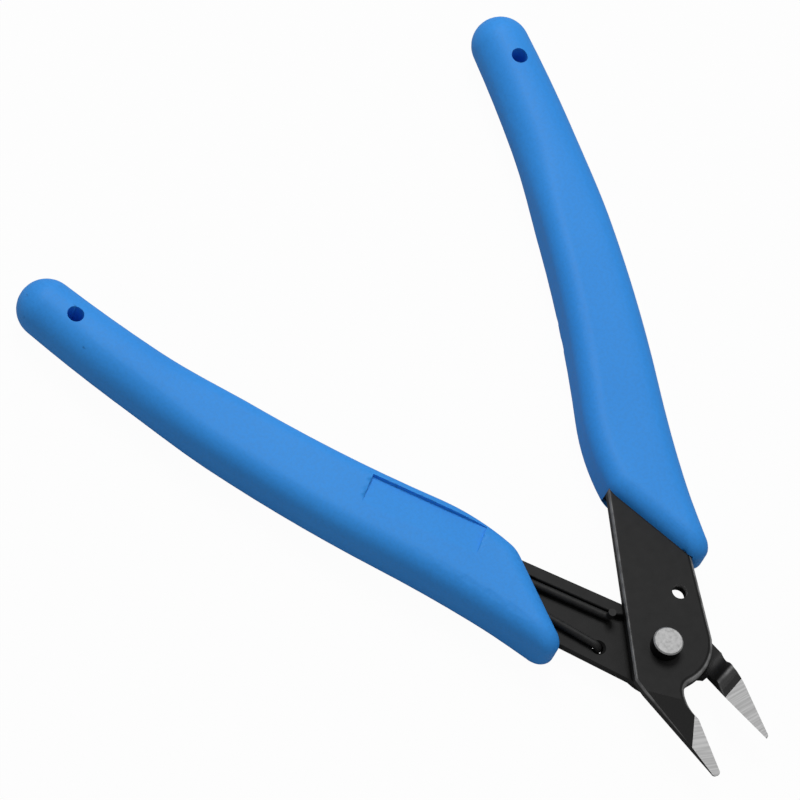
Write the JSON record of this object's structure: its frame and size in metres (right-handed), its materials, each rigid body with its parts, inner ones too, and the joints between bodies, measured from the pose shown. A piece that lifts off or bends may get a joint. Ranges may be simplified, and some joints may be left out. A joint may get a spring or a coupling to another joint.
{
  "type": "flush cut pliers",
  "caption": "Spring-opened flush cutters: two stamped black steel halves on one rivet, ground blades that close edge to edge, long moulded blue grips with hanging holes.",
  "frame": {"origin": "middle of the footprint of the open tool, on the surface on which its grips lie", "axes": "+Z out of the front face, +Y from the handles to the blade tips, the open tool symmetric about X = 0"},
  "size_m": [0.099, 0.1192, 0.009],
  "materials": {
    "black_steel": "black oxide on stamped steel, semi-gloss, with ground bare faces at the blades",
    "rivet_steel": "bare turned steel",
    "spring_wire": "blackened spring wire",
    "grip_vinyl": "matte soft vinyl"
  },
  "bodies": {
    "rear_side": {"rear_half": "black_steel", "rear_grip": "grip_vinyl", "pivot_rivet": "rivet_steel", "return_spring": "spring_wire"},
    "front_side": {"front_half": "black_steel", "front_grip": "grip_vinyl"}
  },
  "joints": [
    {"name": "pivot", "type": "hinge", "parent": "rear_side", "child": "front_side", "pos_m": [0, 0.03942, 0.0055], "axis": [0, 0, 1], "range_deg": [0, 27.2], "stiffness_Nm_per_rad": 0.25, "deforming": ["return_spring"]}
  ]
}
